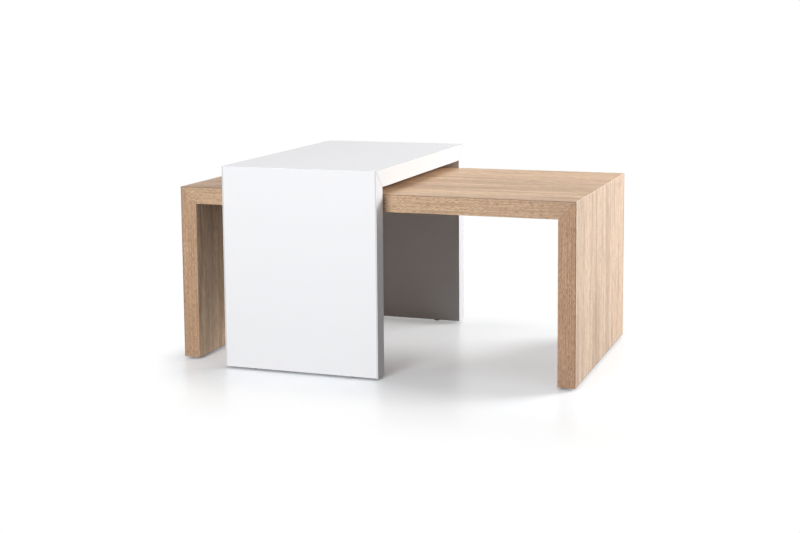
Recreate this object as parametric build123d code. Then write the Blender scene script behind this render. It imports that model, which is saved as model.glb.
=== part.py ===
"""A nest of two bridge tables: a long low oak table, and a short white one that stands astride it.

Each table is three thick boards, a top and two legs, that meet in dowelled mitres, so its faces fold
over the corners in one unbroken band. A board is a chipboard core between two decorative facings, with
edging strips on its narrow edges, and each leg stands on two nailed glides. The white table's opening is
a little wider and higher than the oak table's section, so it slides along the floor over the oak table.

Millimetres. +Z is up, and +X runs along the oak table. The origin is on the floor, under the middle of
the oak table. The white table spans across it, along Y, with its front leg on the -Y side.
"""

import os
from math import ceil

from build123d import *

# The board that both tables are made of
BOARD = 38.0  # finished thickness, facings included
FACING = 0.8  # decorative sheet on each broad side
EDGING = 1.0  # strip on each narrow edge
CORNER_EASE = 0.8  # rounding of the arris where two outer facings meet
EDGING_EASE = 0.5  # rounding of a strip's long arrises

# Oak table: outer span between the legs' outer faces, width, and height without its glides
OAK_SPAN = 905.0
OAK_WIDTH = 520.0
OAK_HEIGHT = 390.0

# White table: its span and height follow from the oak table that it clears
WHITE_WIDTH = 360.0
SIDE_CLEARANCE = 12.0  # between the oak table's long sides and the white legs
TOP_CLEARANCE = 17.0  # between the oak top and the white table's underside
WHITE_PLACE = 129.0  # from the oak table's left end to the white table's left side

# Dowels across each mitre
DOWEL_DIAMETER = 8.0
DOWEL_LENGTH = 32.0
DOWEL_CHAMFER = 0.8
DOWEL_RELIEF = 1.0  # room for glue at each end of a dowel
DOWEL_INSET = 50.0  # first and last dowel, from the table's sides
DOWEL_PITCH_LIMIT = 110.0

# Glides under the legs, and the nails that hold them
GLIDE_HEIGHT = 5.0
GLIDE_RIM_DIAMETER = 18.0
GLIDE_RIM_HEIGHT = 1.5
GLIDE_FLOOR_DIAMETER = 13.0
GLIDE_CHAMFER = 0.6  # where the cone meets the floor face
GLIDE_INSET = 65.0  # glide centre from the table's side
NAIL_DIAMETER = 2.2
NAIL_LENGTH = 18.0
NAIL_POINT = 3.0
NAIL_HEAD_DIAMETER = 5.0
NAIL_HEAD_HEIGHT = 1.4
NAIL_SINK = 1.0  # how far the head sits above the floor, in the glide


def slab(outline, y_low, y_high):
    """A prism with an outline of (x, z) points, between two Y planes."""
    face = make_face(Plane.XZ * Polyline(*outline, close=True))
    return Pos(0, y_low, 0) * extrude(face, amount=y_high - y_low, dir=(0, 1, 0))


def even_places(width, inset, pitch_limit):
    """Places along a width: the outer two at the inset, the rest evenly between, no further apart than the limit."""
    reach = width - 2 * inset
    gaps = max(1, ceil(reach / pitch_limit))
    return [reach * (step / gaps - 0.5) for step in range(gaps + 1)]


class BridgeTable:
    """A top on two legs, in its own frame: span along X, width along Y, standing on Z = 0.

    A layer is what lies between two depths below the outer faces, 0 being the faces themselves.
    """

    def __init__(self, span, width, height):
        self.span = span
        self.width = width
        self.foot = GLIDE_HEIGHT
        self.head = GLIDE_HEIGHT + height
        self.half = width / 2
        self.inner_half = width / 2 - EDGING
        self.dowel_places = even_places(width, DOWEL_INSET, DOWEL_PITCH_LIMIT)
        self.glide_places = [-self.half + GLIDE_INSET, self.half - GLIDE_INSET]
        self.leg_middle = -span / 2 + BOARD / 2

    def top_layer(self, outer, inner):
        """Outline of a layer of the top, cut to 45 degrees at both ends."""
        end = self.span / 2
        return [
            (-end + outer, self.head - outer),
            (end - outer, self.head - outer),
            (end - inner, self.head - inner),
            (-end + inner, self.head - inner),
        ]

    def leg_layer(self, outer, inner, bottom):
        """Outline of a layer of the leg at -X, cut to 45 degrees at its upper end."""
        end = -self.span / 2
        return [
            (end + outer, self.head - outer),
            (end + inner, self.head - inner),
            (end + inner, bottom),
            (end + outer, bottom),
        ]

    def eased_block(self):
        """The table's outer block, with its two upper corners rounded."""
        rectangle = Rectangle(self.span, self.head - self.foot)
        upper_corners = rectangle.vertices().group_by(Axis.Y)[-1]
        outline = Pos(0, (self.head + self.foot) / 2) * fillet(upper_corners, CORNER_EASE)
        return extrude(Plane.XZ * outline, amount=self.half, both=True)

    def layer_piece(self, outline):
        """A layer between the two rows of edging."""
        return slab(outline, -self.inner_half, self.inner_half) & self.eased_block()

    def edging_bridge(self):
        """The edging of one side before it is cut at the mitres, with its arrises rounded. It lies at +Y."""
        opening = Pos(0, 0, -BOARD) * Box(self.span - 2 * BOARD, self.width, self.head - self.foot)
        opening = Pos(0, 0, (self.head + self.foot) / 2) * opening
        sheet = Pos(0, self.half - EDGING / 2, self.head / 2) * Box(self.span, EDGING, self.head)
        bridge = (sheet & self.eased_block()) - opening
        shown_face = bridge.faces().sort_by(Axis.Y)[-1]
        arrises = shown_face.edges().filter_by(lambda edge: (edge @ 0.5).Z > self.foot + EDGING)
        return fillet(arrises, EDGING_EASE)

    def dowel(self, y, length, chamfer_size):
        """A dowel, or its bore, square to the mitre at -X and centred on it."""
        blank = Cylinder(DOWEL_DIAMETER / 2, length)
        if chamfer_size:
            blank = chamfer(blank.edges().filter_by(GeomType.CIRCLE), chamfer_size)
        centre = (self.leg_middle, y, self.head - BOARD / 2)
        return Location(centre) * Rot(0, 45, 0) * blank

    def dowels(self):
        return [self.dowel(y, DOWEL_LENGTH, DOWEL_CHAMFER) for y in self.dowel_places]

    def dowel_bores(self):
        return [self.dowel(y, DOWEL_LENGTH + 2 * DOWEL_RELIEF, 0) for y in self.dowel_places]

    def on_glides(self, shape):
        """Copies of a shape at the two glides of the leg at -X."""
        return [Pos(self.leg_middle, y, 0) * shape for y in self.glide_places]


def nail():
    """A countersunk nail, head down, on the Z axis."""
    head = NAIL_HEAD_DIAMETER / 2
    shank = NAIL_DIAMETER / 2
    top = NAIL_SINK + NAIL_LENGTH
    outline = Polyline(
        (0, NAIL_SINK),
        (head, NAIL_SINK),
        (shank, NAIL_SINK + NAIL_HEAD_HEIGHT),
        (shank, top - NAIL_POINT),
        (0, top),
        close=True,
    )
    return revolve(make_face(Plane.XZ * outline), Axis.Z)


def nail_hole():
    """The way a nail takes through a glide and into a leg, open to the floor."""
    mouth = Pos(0, 0, NAIL_SINK / 2) * Cylinder(NAIL_HEAD_DIAMETER / 2, NAIL_SINK)
    return nail() + mouth


def glide():
    """A turned plastic foot: a short rim under the board, then a cone down to a flat floor face."""
    rim = GLIDE_RIM_DIAMETER / 2
    floor = GLIDE_FLOOR_DIAMETER / 2
    outline = Polyline(
        (0, 0),
        (floor, 0),
        (rim, GLIDE_HEIGHT - GLIDE_RIM_HEIGHT),
        (rim, GLIDE_HEIGHT),
        (0, GLIDE_HEIGHT),
        close=True,
    )
    turned = revolve(make_face(Plane.XZ * outline), Axis.Z)
    floor_edge = turned.edges().filter_by(GeomType.CIRCLE).sort_by(Axis.Z)[0]
    return chamfer(floor_edge, GLIDE_CHAMFER) - nail_hole()


def other_end(shapes):
    """The same shapes at the other end of the table, or on its other side."""
    return [mirror(shape, Plane.YZ) for shape in shapes]


def other_side(shape):
    return mirror(shape, Plane.XZ)


def table_nodes(table, label, leg_names, side_names):
    """All of a table's pieces by node name. leg_names run from -X to +X, and side_names from -Y to +Y."""
    nodes = {}
    core_outer, core_inner = FACING, BOARD - FACING
    leg_bottom = table.foot + EDGING
    bridge = table.edging_bridge()

    # Top
    bores = table.dowel_bores()
    top_core = table.layer_piece(table.top_layer(core_outer, core_inner))
    nodes["top_board"] = top_core - bores - other_end(bores)
    nodes["top_upper_facing"] = table.layer_piece(table.top_layer(0, core_outer))
    nodes["top_under_facing"] = table.layer_piece(table.top_layer(core_inner, BOARD))
    top_wedge = slab(table.top_layer(0, BOARD), -table.half, table.half)
    top_strip = bridge & top_wedge
    nodes[f"top_{side_names[0]}_edging"] = other_side(top_strip)
    nodes[f"top_{side_names[1]}_edging"] = top_strip

    # Leg at -X, and its mirror image at +X
    nail_holes = table.on_glides(nail_hole())
    leg_wedge = slab(table.leg_layer(0, BOARD, table.foot), -table.half, table.half)
    leg_strip = bridge & leg_wedge
    foot_block = [
        (-table.span / 2, table.foot),
        (-table.span / 2 + BOARD, table.foot),
        (-table.span / 2 + BOARD, leg_bottom),
        (-table.span / 2, leg_bottom),
    ]
    leg = {
        "leg_board": table.layer_piece(table.leg_layer(core_outer, core_inner, leg_bottom)) - bores - nail_holes,
        "leg_outer_facing": table.layer_piece(table.leg_layer(0, core_outer, leg_bottom)),
        "leg_inner_facing": table.layer_piece(table.leg_layer(core_inner, BOARD, leg_bottom)),
        f"leg_{side_names[0]}_edging": other_side(leg_strip),
        f"leg_{side_names[1]}_edging": leg_strip,
        "leg_bottom_edging": table.layer_piece(foot_block) - nail_holes,
    }
    dowels = table.dowels()
    glides = table.on_glides(glide())
    nails = table.on_glides(nail())
    for leg_name, at_end in zip(leg_names, (list, other_end)):
        for piece, shape in leg.items():
            nodes[f"{leg_name}_{piece}"] = at_end([shape])[0]
        nodes[f"{leg_name}_mitre_dowels"] = Compound(children=at_end(dowels))
        for side_name, foot in zip(side_names, at_end(glides)):
            nodes[f"{leg_name}_{side_name}_glide"] = foot
    nodes["glide_nails"] = Compound(children=nails + other_end(nails))
    return {f"{label}_{name}": shape for name, shape in nodes.items()}


def main():
    oak = BridgeTable(OAK_SPAN, OAK_WIDTH, OAK_HEIGHT)
    white_span = OAK_WIDTH + 2 * (SIDE_CLEARANCE + BOARD)
    white_height = OAK_HEIGHT + TOP_CLEARANCE + BOARD
    white = BridgeTable(white_span, WHITE_WIDTH, white_height)

    # A quarter turn puts the white table's -X leg at the front and its +Y side at the left
    white_x = -OAK_SPAN / 2 + WHITE_PLACE + WHITE_WIDTH / 2
    white_location = Pos(white_x, 0, 0) * Rot(0, 0, 90)

    nodes = table_nodes(oak, "oak", ("left", "right"), ("front", "back"))
    white_nodes = table_nodes(white, "white", ("front", "back"), ("right", "left"))
    nodes |= {name: white_location * shape for name, shape in white_nodes.items()}

    os.makedirs("parts", exist_ok=True)
    for name, shape in nodes.items():
        export_step(shape, f"parts/{name}.step")
    print(len(nodes), "nodes written")


main()
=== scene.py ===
from math import radians

import bpy
from mathutils import Matrix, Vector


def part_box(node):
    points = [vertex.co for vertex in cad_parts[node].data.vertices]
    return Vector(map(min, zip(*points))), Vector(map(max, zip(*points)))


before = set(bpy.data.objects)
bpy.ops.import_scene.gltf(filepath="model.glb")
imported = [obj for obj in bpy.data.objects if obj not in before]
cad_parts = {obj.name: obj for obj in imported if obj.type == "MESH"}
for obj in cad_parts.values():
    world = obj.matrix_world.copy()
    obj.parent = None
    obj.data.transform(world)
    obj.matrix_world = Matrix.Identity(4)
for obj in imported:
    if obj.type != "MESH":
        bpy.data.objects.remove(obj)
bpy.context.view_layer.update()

# Chipboard cores of the six boards: pressed wood chips in resin, raw and out of sight behind the
# facings and edgings. The tops and legs are cut to 45 degrees where they meet and glued on dowels.

CHIP_DARK = (0.42, 0.28, 0.15, 1)
CHIP_PALE = (0.62, 0.47, 0.29, 1)
CHIP_DEPTH = 0.0003


class Signal:
    """A value, colour or vector in a node tree. Arithmetic on one adds the Math node for it."""

    def __init__(self, nodes, socket):
        self.nodes = nodes
        self.socket = socket

    def _math(self, operation, first, second):
        return self.nodes.node("ShaderNodeMath", {"operation": operation}, {0: first, 1: second})

    def __add__(self, other):
        return self._math("ADD", self, other)

    def __radd__(self, other):
        return self._math("ADD", other, self)

    def __sub__(self, other):
        return self._math("SUBTRACT", self, other)

    def __rsub__(self, other):
        return self._math("SUBTRACT", other, self)

    def __mul__(self, other):
        return self._math("MULTIPLY", self, other)

    def __rmul__(self, other):
        return self._math("MULTIPLY", other, self)

    def __abs__(self):
        return self._math("ABSOLUTE", self, 0.0)


class Nodes:
    """The node tree of a material or of the world, and the one way its nodes are made."""

    def __init__(self, owner, output):
        owner.use_nodes = True
        self.tree = owner.node_tree
        self.tree.nodes.clear()
        self.output = self.tree.nodes.new(output)

    def node(self, kind, settings, sockets, result=0):
        """Adds a node, sets it up, feeds its sockets with values or signals, and returns one output."""
        made = self.tree.nodes.new(kind)
        for setting, value in settings.items():
            setattr(made, setting, value)
        for key, value in sockets.items():
            if isinstance(value, Signal):
                self.tree.links.new(value.socket, made.inputs[key])
            else:
                made.inputs[key].default_value = value
        return Signal(self, made.outputs[result])

    def show(self, surface):
        """Makes that surface or sky the one that the tree gives."""
        self.tree.links.new(surface.socket, self.output.inputs["Surface"])


class Finish(Nodes):
    """A material, with the patterns and blends that the finishes are made of."""

    def __init__(self, name):
        self.material = bpy.data.materials.new(name)
        super().__init__(self.material, "ShaderNodeOutputMaterial")

    def place(self):
        """Where on the piece a point lies, in metres, in the frame shared by all pieces."""
        return self.node("ShaderNodeTexCoord", {}, {}, "Object")

    def coordinates(self):
        """The three coordinates of that place, each as a value."""
        first = self.node("ShaderNodeSeparateXYZ", {}, {0: self.place()})
        return [Signal(self, socket) for socket in first.socket.node.outputs]

    def noise(self, place, scale, detail=2.0, roughness=0.5):
        sockets = {"Vector": place, "Scale": scale, "Detail": detail, "Roughness": roughness}
        return self.node("ShaderNodeTexNoise", {"noise_dimensions": "3D"}, sockets)

    def step(self, value, low, high, from_value=0.0, to_value=1.0):
        """Eases from one value to another as the signal passes from low to high."""
        sockets = {"Value": value, 1: low, 2: high, 3: from_value, 4: to_value}
        return self.node("ShaderNodeMapRange", {"interpolation_type": "SMOOTHSTEP"}, sockets)

    def blend(self, share, first, second):
        """A colour between two colours."""
        sockets = {0: share, 6: first, 7: second}
        return self.node("ShaderNodeMix", {"data_type": "RGBA"}, sockets, 2)

    def surface(self, sockets, height=None, depth=0.0):
        """Finishes the material with these values, and with a relief of that depth in metres if given."""
        if height is not None:
            relief = {"Height": height, "Distance": depth, "Strength": 1.0}
            sockets = sockets | {"Normal": self.node("ShaderNodeBump", {}, relief)}
        self.show(self.node("ShaderNodeBsdfPrincipled", {}, sockets))
        return self.material


def named(ending, start=""):
    """The pieces of the frame whose names start and end so."""
    return [p for name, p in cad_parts.items() if name.startswith(start) and name.endswith(ending)]


def dress(pieces, material):
    for piece in pieces:
        piece.data.materials.clear()
        piece.data.materials.append(material)


def chipboard():
    finish = Finish("chipboard")
    chips = finish.noise(finish.place(), scale=220.0, detail=3.0)
    colour = finish.blend(finish.step(chips, low=0.35, high=0.65), CHIP_DARK, CHIP_PALE)
    return finish.surface({"Base Color": colour, "Roughness": 0.85}, chips, CHIP_DEPTH)


dress(named("_board"), chipboard())

# Oak table: decorative facings with an oak grain, pressed onto both broad sides of each board. The grain
# runs along the top from leg to leg, and up and down on the legs. Their edges show as fine seams.

X, Y, Z = range(3)
OAK_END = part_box("oak_right_leg_outer_facing")[1].x
OAK_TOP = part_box("oak_right_leg_outer_facing")[1].z
OAK_DARK_STAVE = (0.545, 0.402, 0.296)
OAK_PALE_STAVE = (0.675, 0.490, 0.345)
OAK_BAND = (0.760, 0.580, 0.420)
OAK_STREAK = (0.400, 0.262, 0.175)
OAK_PORE = (0.340, 0.222, 0.145)
OAK_RAY = (0.430, 0.285, 0.190)
# The colour of a painted highlight along the folded corners of the top and the legs.
OAK_CORNER_HIGHLIGHT = (0.80, 0.66, 0.53, 1)
OAK_DRAWN_OUT = 0.07  # how fast the grain changes along the wood, where across it is 1
OAK_SWAY = 0.045  # metres over which the grain wanders from side to side
PORE_DEPTH = 0.00004


def one_axis(axis, value, others):
    """Three numbers, one to an axis, of which one is its own and the others are alike."""
    numbers = [others, others, others]
    numbers[axis] = value
    return numbers


def tinted(wood, tint):
    return (wood[0] * tint[0], wood[1] * tint[1], wood[2] * tint[2], 1)


def printed(finish, origin, along, drawn_out):
    """Where on a printed sheet a point lies. The origin says which part of it is laid on the piece."""
    sockets = {"Vector": finish.place(), "Location": origin, "Scale": one_axis(along, drawn_out, 1.0)}
    return finish.node("ShaderNodeMapping", {"vector_type": "POINT"}, sockets)


def scaled(finish, place, along, factor):
    """The same place with one axis scaled, for marks that are shorter or longer than the grain."""
    sockets = {0: place, 1: one_axis(along, factor, 1.0)}
    return finish.node("ShaderNodeVectorMath", {"operation": "MULTIPLY"}, sockets)


def line(finish, distance, near, far, depth):
    """How much of a fine line lies on a point at that distance from its middle, at most the depth."""
    return finish.step(distance, near, far, depth, 0.0)


def painted_corner_highlight(finish, colour, place):
    """A painted highlight: the paler line along the corner where the facings of the top and a leg fold over
    their mitre.
    """
    from_corner = abs(abs(place[X]) - OAK_END) + abs(place[Z] - OAK_TOP)
    corner_highlight = line(finish, from_corner, near=0.0006, far=0.0018, depth=0.3)
    return finish.blend(corner_highlight, colour, OAK_CORNER_HIGHLIGHT)


def oak(name, along, across, origin, tint, figure, paler):
    """Oak grain that runs along one axis. The figure says how strongly it is marked, and paler an axis and
    from where to where on it the wood grows paler, which on the legs is painted light and shade."""
    finish = Finish(name)
    grain = printed(finish, origin, along, OAK_DRAWN_OUT)
    sway = (finish.noise(grain, scale=7.0) - 0.5) * OAK_SWAY
    sockets = {0: one_axis(across, 1.0, 0.0), "Scale": sway}
    push = finish.node("ShaderNodeVectorMath", {"operation": "SCALE"}, sockets)
    wandering = finish.node("ShaderNodeVectorMath", {"operation": "ADD"}, {0: grain, 1: push})

    place = finish.coordinates()
    axis, start, end = paler
    staves = finish.noise(wandering, scale=6.0, detail=1.0)
    staves = staves + finish.step(place[axis], start, end, -0.08, 0.08)
    bands = finish.noise(wandering, scale=15.0)
    streaks = finish.noise(wandering, scale=48.0, detail=4.0, roughness=0.7)
    pores = finish.noise(scaled(finish, wandering, along, 2.0), scale=330.0, detail=3.0, roughness=0.6)
    rays = finish.noise(scaled(finish, wandering, along, 45.0), scale=62.0, detail=1.0)

    pits = finish.step(pores, 0.46, 0.62)
    marks = (
        (finish.step(bands, 0.42, 0.68), 0.90 * figure, OAK_BAND),
        (finish.step(streaks, 0.46, 0.72), 0.80 * figure, OAK_STREAK),
        (pits, 0.38 * figure, OAK_PORE),
        (finish.step(rays, 0.40, 0.66), 0.15, OAK_RAY),
    )
    dark, pale = tinted(OAK_DARK_STAVE, tint), tinted(OAK_PALE_STAVE, tint)
    colour = finish.blend(finish.step(staves, 0.43, 0.57), dark, pale)
    for marked, strength, wood in marks:
        colour = finish.blend(marked * strength, colour, tinted(wood, tint))
    # Painted highlight along the corner of the top and each leg.
    colour = painted_corner_highlight(finish, colour, place)
    sockets = {"Base Color": colour, "Roughness": 0.46 + 0.14 * pits, "Specular IOR Level": 0.35}
    return finish.surface(sockets, 1.0 - pits, PORE_DEPTH)


top_oak = oak(
    "oak_top_facing",
    along=X,
    across=Y,
    origin=(0.31, 1.08, 0.1),
    tint=(0.955, 0.873, 0.765),
    figure=1.1,
    paler=(Y, -0.12, 0.0),
)
# The left leg is tinted paler than the top and grows paler towards the back: painted light on faces that lie
# in shade under the tops.
left_leg_oak = oak(
    "oak_left_leg_facing",
    along=Z,
    across=Y,
    origin=(5.3, 3.465, 1.1),
    tint=(1.27, 1.30, 1.27),
    figure=1.35,
    paler=(Y, -0.26, -0.16),
)
# The right leg is tinted paler than the top, partly painted light, and grows darker towards the floor:
# painted shade.
right_leg_oak = oak(
    "oak_right_leg_facing",
    along=Z,
    across=Y,
    origin=(9.4, 6.505, 1.1),
    tint=(1.145, 1.165, 1.20),
    figure=1.25,
    paler=(Z, 0.02, 0.22),
)
dress(named("_facing", "oak_top_"), top_oak)
dress(named("_facing", "oak_left_leg_"), left_leg_oak)
dress(named("_facing", "oak_right_leg_"), right_leg_oak)

# Oak table: plastic edging strips printed with an oak grain, glued to the narrow edges. Each follows the
# grain of its own board, they meet in the same mitres, and a dark glue line shows beside the facings.

EDGING_LIGHT = (0.700, 0.465, 0.305)
EDGING_DARK = (0.240, 0.145, 0.090)
EDGING_GLUE = (0.20, 0.115, 0.07, 1)
EDGING_MITRE = (0.22, 0.13, 0.08, 1)
EDGING_DRAWN_OUT = 0.055
FLECK_DEPTH = 0.00003


def oak_edging(name, along, origin, tint, drift):
    """Finely flecked oak print. It drifts darker along the strip from one place to another, by a share; on
    the legs this drift is painted shade towards the floor.
    """
    finish = Finish(name)
    grain = printed(finish, origin, along, EDGING_DRAWN_OUT)
    flecks = finish.noise(grain, scale=1700.0, detail=3.0, roughness=0.8)
    lines = finish.noise(scaled(finish, grain, along, 0.25), scale=450.0, roughness=0.7)
    dark = tinted(EDGING_DARK, tint)
    colour = finish.blend(finish.step(lines, 0.40, 0.62) * 0.50, tinted(EDGING_LIGHT, tint), dark)
    colour = finish.blend(finish.step(flecks, 0.43, 0.60) * 0.95, colour, dark)

    place = finish.coordinates()
    start, end, share = drift
    colour = finish.blend(finish.step(place[along], start, end) * share, colour, dark)
    from_end = OAK_END - abs(place[X])
    from_top = OAK_TOP - place[Z]
    if along == X:
        glue = line(finish, from_top, near=0.0008, far=0.0022, depth=0.60)
    else:
        glue = line(finish, from_end, near=0.0008, far=0.0025, depth=0.75)
    colour = finish.blend(glue, colour, EDGING_GLUE)
    mitre = line(finish, abs(from_end - from_top), near=0.0002, far=0.0014, depth=0.35)
    colour = finish.blend(mitre, colour, EDGING_MITRE)
    sockets = {"Base Color": colour, "Roughness": 0.58, "Specular IOR Level": 0.3}
    return finish.surface(sockets, flecks, FLECK_DEPTH)


top_edging = oak_edging(
    "oak_top_edging",
    along=X,
    origin=(0.2, 0.1, 0.4),
    tint=(1.085, 1.125, 1.105),
    drift=(0.22, 0.46, 0.25),
)
# Its drift darkens the strip towards the floor: painted shade.
left_leg_edging = oak_edging(
    "oak_left_leg_edging",
    along=Z,
    origin=(0.7, 1.3, 2.4),
    tint=(0.985, 0.96, 0.915),
    drift=(0.16, 0.02, 0.10),
)
# Its drift darkens the strip towards the floor: painted shade.
right_leg_edging = oak_edging(
    "oak_right_leg_edging",
    along=Z,
    origin=(1.2, 2.1, 0.7),
    tint=(0.925, 0.865, 0.83),
    drift=(0.25, 0.02, 0.08),
)
dress(named("_edging", "oak_top_"), top_edging)
dress(named("_edging", "oak_left_leg_"), left_leg_edging)
dress(named("_edging", "oak_right_leg_"), right_leg_edging)

# White table: smooth white facings and edgings with a satin face, pressed and glued on as on the oak
# table. A fine grey seam shows where the facings meet the strips, and in the mitres of the strips.

white_low, white_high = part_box("white_front_leg_outer_facing")
WHITE_FRONT = white_low.y
WHITE_TOP = white_high.z
WHITE_MIDDLE = (white_low.x + white_high.x) / 2
WHITE_REACH = (white_high.x - white_low.x) / 2  # from the middle to where the facings end at the strips
WHITE_SHADE = (0.815, 0.815, 0.830, 1)
WHITE_LIGHT = (0.835, 0.835, 0.850, 1)
WHITE_SEAM = (0.50, 0.50, 0.51, 1)
PEEL_DEPTH = 0.000004


def white(name, from_seam, near, far):
    """Satin white with a faint peel. A function gives a point's distance from the nearest seam."""
    finish = Finish(name)
    peel = finish.noise(finish.place(), scale=260.0)
    colour = finish.blend(peel, WHITE_SHADE, WHITE_LIGHT)
    seam = line(finish, from_seam(finish.coordinates()), near, far, depth=0.9)
    colour = finish.blend(seam, colour, WHITE_SEAM)
    sockets = {"Base Color": colour, "Roughness": 0.42 + 0.06 * peel, "Specular IOR Level": 0.3}
    return finish.surface(sockets, peel, PEEL_DEPTH)


def from_strip(place):
    """How far a point of a facing is from the strips beside it."""
    return WHITE_REACH - abs(place[X] - WHITE_MIDDLE)


def from_mitre(place):
    """How far a point of a strip is from the mitre between the strips of the top and a leg."""
    return abs(abs(WHITE_FRONT) - abs(place[Y]) - WHITE_TOP + place[Z])


dress(named("_facing", "white_"), white("white_facing", from_strip, near=0.0010, far=0.0028))
dress(named("_edging", "white_"), white("white_edging", from_mitre, near=0.0006, far=0.0020))

# Mitre dowels: turned beech pins with chamfered ends. They are glued square to each mitre, half in
# either board, and out of sight.

BEECH_DARK = (0.60, 0.40, 0.24, 1)
BEECH_PALE = (0.74, 0.55, 0.36, 1)


def beech():
    finish = Finish("beech_dowel")
    colour = finish.blend(finish.noise(finish.place(), scale=500.0), BEECH_DARK, BEECH_PALE)
    return finish.surface({"Base Color": colour, "Roughness": 0.7})


dress(named("_mitre_dowels"), beech())

# Glides: black plastic feet, moulded in one piece and nailed under the legs, two to a leg. They keep the
# edging strips at the foot ends off the floor.

GLIDE_BLACK = (0.018, 0.018, 0.019, 1)
GLIDE_GREY = (0.032, 0.032, 0.033, 1)
GRAIN_DEPTH = 0.00002


def glide_plastic():
    finish = Finish("black_glide")
    grain = finish.noise(finish.place(), scale=900.0)
    colour = finish.blend(grain, GLIDE_BLACK, GLIDE_GREY)
    return finish.surface({"Base Color": colour, "Roughness": 0.45 + 0.1 * grain}, grain, GRAIN_DEPTH)


dress(named("_glide"), glide_plastic())

# Glide nails: bright steel wire nails with a drawn finish. One is countersunk in each glide and driven
# up into its board.

NAIL_STEEL = (0.56, 0.56, 0.57, 1)


def nail_wire():
    finish = Finish("nail_steel")
    drawn = finish.noise(finish.place(), scale=1500.0, detail=1.0)
    return finish.surface({"Base Color": NAIL_STEEL, "Metallic": 1.0, "Roughness": 0.25 + 0.15 * drawn})


dress(named("_glide_nails"), nail_wire())

# Floor: a pale, faintly glossy studio floor. It keeps the tables' shadow and turns into the white backdrop
# a little way off, for the camera only. What bounces off it onto the tables is dimmer.

FLOOR_SIZE = 16.0
FLOOR_WHITE = (1, 1, 1, 1)
FLOOR_PAPER = (0.905, 0.930, 0.960, 1)
FLOOR_BOUNCE = (0.31, 0.32, 0.34, 1)
FLOOR_GLOW = 0.09
OAK_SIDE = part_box("oak_top_front_edging")[0].y
SHADOW_AHEAD = (0.04, 0.27)  # metres in front of the oak legs over which the shadow ends
SHADOW_ASIDE = (-0.02, 0.08)  # the same to the left, along a line that leans inwards to the front
SHADOW_LEAN = 0.5  # metres inwards for each metre to the front
SHADOW_BEHIND = (0.0, 0.14)  # the same behind the legs
SHADOW_RIGHT = (0.75, 1.20)  # and to the right, beyond the white table when it is slid out
# Painted light on the floor, for the camera only: the shadow is taken off beside the right leg and thinned
# between the legs.
LIT_FROM = (-0.03, 0.01)  # from inside the right leg to outside, where the floor beside it is lit
LIT_TO = (0.02, 0.12)  # where that ends to the right
LIT_AHEAD = (-0.03, 0.01)  # and in front of the leg
LIT = 0.85  # the share of the shadow that is taken off there
THIN_FROM = (-0.28, 0.07)  # from front to back, where the shadow between the legs grows thinner
THIN_TO = (0.20, 0.27)  # where it grows thicker again beside the white back leg
THIN_AT_BACK = 0.6  # how much of that share is left there
THIN_ASIDE = (0.02, 0.32)  # from left to right, where it grows thicker again as well
THIN_AT_RIGHT = 0.35  # and how much is left on the right
THIN = 0.57  # the share that is taken off between the legs
MIRROR_AHEAD = (0.15, 0.45)  # metres in front over which the floor's faint reflection ends
MIRROR_RIGHT = (-0.10, 0.30)  # and metres to the right of the oak table's end
MIRROR = 0.75  # its strength, where a full one is 1

bpy.ops.mesh.primitive_plane_add(size=FLOOR_SIZE)
floor = bpy.context.object
floor.name = "studio_floor"
ground = Finish("studio_floor")

x, y, z = ground.coordinates()
ahead = OAK_SIDE - y
behind = OAK_SIDE + y
outside = x - OAK_END
leaning = ground.node("ShaderNodeMath", {"operation": "MAXIMUM"}, {0: ahead, 1: 0.0}) * SHADOW_LEAN
aside = leaning - OAK_END - x
kept = ground.step(ahead, *SHADOW_AHEAD, 1.0, 0.0) * ground.step(aside, *SHADOW_ASIDE, 1.0, 0.0)
kept = kept * ground.step(behind, *SHADOW_BEHIND, 1.0, 0.0) * ground.step(outside, *SHADOW_RIGHT, 1.0, 0.0)
# Painted light: the floor's shadow is taken off beside the right leg and thinned between the legs.
beside = ground.step(outside, *LIT_FROM, 0.0, LIT) * ground.step(outside, *LIT_TO, 1.0, 0.0)
beside = beside * ground.step(ahead, *LIT_AHEAD, 1.0, 0.0)
thinned = ground.step(y, *THIN_FROM, 0.0, THIN) * ground.step(y, *THIN_TO, 1.0, THIN_AT_BACK)
thinned = thinned * ground.step(x, *THIN_ASIDE, 1.0, THIN_AT_RIGHT)
faded = 1.0 - kept * (1.0 - thinned) * (1.0 - beside)

matt = ground.node("ShaderNodeBsdfDiffuse", {}, {"Color": FLOOR_PAPER})
glow = ground.node("ShaderNodeEmission", {}, {"Color": FLOOR_WHITE, "Strength": FLOOR_GLOW})
paper = ground.node("ShaderNodeAddShader", {}, {0: matt, 1: glow})
backdrop = ground.node("ShaderNodeEmission", {}, {"Color": FLOOR_WHITE, "Strength": 1.0})
sheet = ground.node("ShaderNodeMixShader", {}, {0: faded, 1: paper, 2: backdrop})
mirror = ground.node("ShaderNodeBsdfAnisotropic", {}, {"Color": FLOOR_WHITE, "Roughness": 0.28})
gloss = ground.node("ShaderNodeFresnel", {}, {"IOR": 1.45})
gloss = gloss * ground.step(ahead, *MIRROR_AHEAD, MIRROR, 0.0) * ground.step(outside, *MIRROR_RIGHT, 1.0, 0.0)
shown = ground.node("ShaderNodeMixShader", {}, {0: gloss, 1: sheet, 2: mirror})
bounce = ground.node("ShaderNodeBsdfDiffuse", {}, {"Color": FLOOR_BOUNCE})
seen = ground.node("ShaderNodeLightPath", {}, {}, "Is Camera Ray")
ground.show(ground.node("ShaderNodeMixShader", {}, {0: seen, 1: bounce, 2: shown}))
dress([floor], ground.material)

# Backdrop: a white studio all round. The camera and the glossy faces see it at full white, and it lights
# the tables more dimly.

BACKDROP_WHITE = (1, 1, 1, 1)
BACKDROP_LIGHT = 0.27

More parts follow.
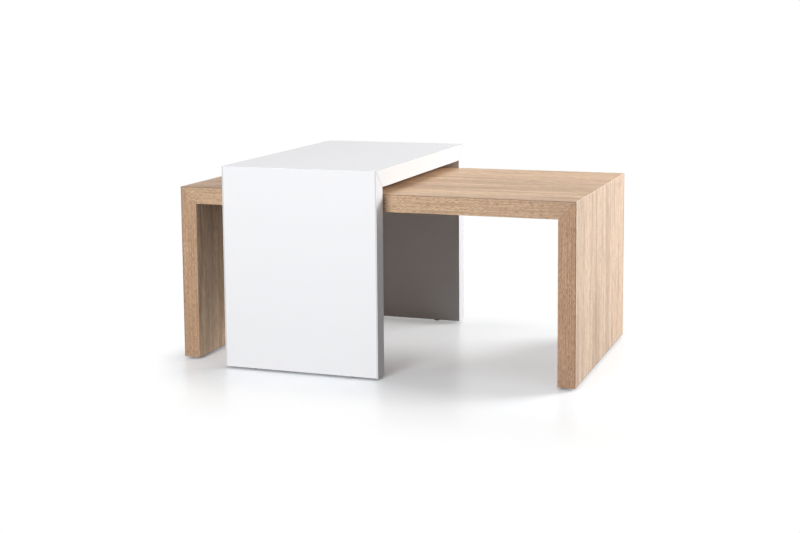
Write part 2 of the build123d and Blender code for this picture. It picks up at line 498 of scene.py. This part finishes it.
studio = bpy.data.worlds.new("studio")
bpy.context.scene.world = studio
sky = Nodes(studio, "ShaderNodeOutputWorld")
dim = sky.node("ShaderNodeBackground", {}, {"Color": BACKDROP_WHITE, "Strength": BACKDROP_LIGHT})
bright = sky.node("ShaderNodeBackground", {}, {"Color": BACKDROP_WHITE, "Strength": 1.0})
camera_ray = sky.node("ShaderNodeLightPath", {}, {}, "Is Camera Ray")
glossy_ray = sky.node("ShaderNodeLightPath", {}, {}, "Is Glossy Ray")
either = sky.node("ShaderNodeMath", {"operation": "MAXIMUM"}, {0: camera_ray, 1: glossy_ray})
sky.show(sky.node("ShaderNodeMixShader", {}, {0: either, 1: dim, 2: bright}))

# Studio lights: two large softboxes behind to the right, the key and a low one that rakes the end faces.
# One in front to the left lights the front faces, and two weak ones fill in from above and from the side.

FULL_POWER = 9.87  # watts of a softbox one metre off that show a white card facing it as white
AIM_HEIGHT = 0.2


def softbox(name, azimuth, elevation, distance, width, height, level):
    """A softbox aimed at the tables. Its level is what a white card facing it would show, 1 being white."""
    data = bpy.data.lights.new(name, "AREA")
    data.shape = "RECTANGLE"
    data.size = width
    data.size_y = height
    data.energy = level * FULL_POWER * distance**2
    lamp = bpy.data.objects.new(name, data)
    bpy.context.scene.collection.objects.link(lamp)
    turn = Matrix.Rotation(radians(azimuth), 4, "Z") @ Matrix.Rotation(radians(90 - elevation), 4, "X")
    lamp.matrix_world = Matrix.Translation((0, 0, AIM_HEIGHT)) @ turn @ Matrix.Translation((0, 0, distance))


softbox("key_softbox", azimuth=130, elevation=24, distance=4.0, width=1.8, height=1.0, level=0.86)
softbox("low_softbox", azimuth=120, elevation=9, distance=4.5, width=2.2, height=0.8, level=0.25)
softbox("front_softbox", azimuth=-8, elevation=16, distance=5.0, width=1.6, height=1.0, level=0.70)
softbox("top_softbox", azimuth=10, elevation=72, distance=4.0, width=1.6, height=1.6, level=0.155)
softbox("side_softbox", azimuth=62, elevation=38, distance=4.0, width=1.6, height=1.6, level=0.03)

# Camera: it stands in front to the right of the tables, a little above their tops, and looks slightly
# down. A small shift frames them, so that it needs no more tilt and upright edges stay nearly upright.

CAMERA_STAND = (1.0723, -3.0472, 0.7898)
CAMERA_TURN = 19.743
CAMERA_TILT = 83.404
CAMERA_ROLL = -0.478
CAMERA_LENS = 63.29
CAMERA_SENSOR = 36.0
CAMERA_SHIFT = -0.12

data = bpy.data.cameras.new("camera")
data.lens = CAMERA_LENS
data.sensor_width = CAMERA_SENSOR
data.shift_y = CAMERA_SHIFT
camera = bpy.data.objects.new("camera", data)
bpy.context.scene.collection.objects.link(camera)
aim = Matrix.Rotation(radians(CAMERA_TURN), 4, "Z") @ Matrix.Rotation(radians(CAMERA_TILT), 4, "X")
aim = aim @ Matrix.Rotation(radians(CAMERA_ROLL), 4, "Z")
camera.matrix_world = Matrix.Translation(CAMERA_STAND) @ aim
bpy.context.scene.camera = camera
bpy.context.scene.view_settings.view_transform = "Standard"
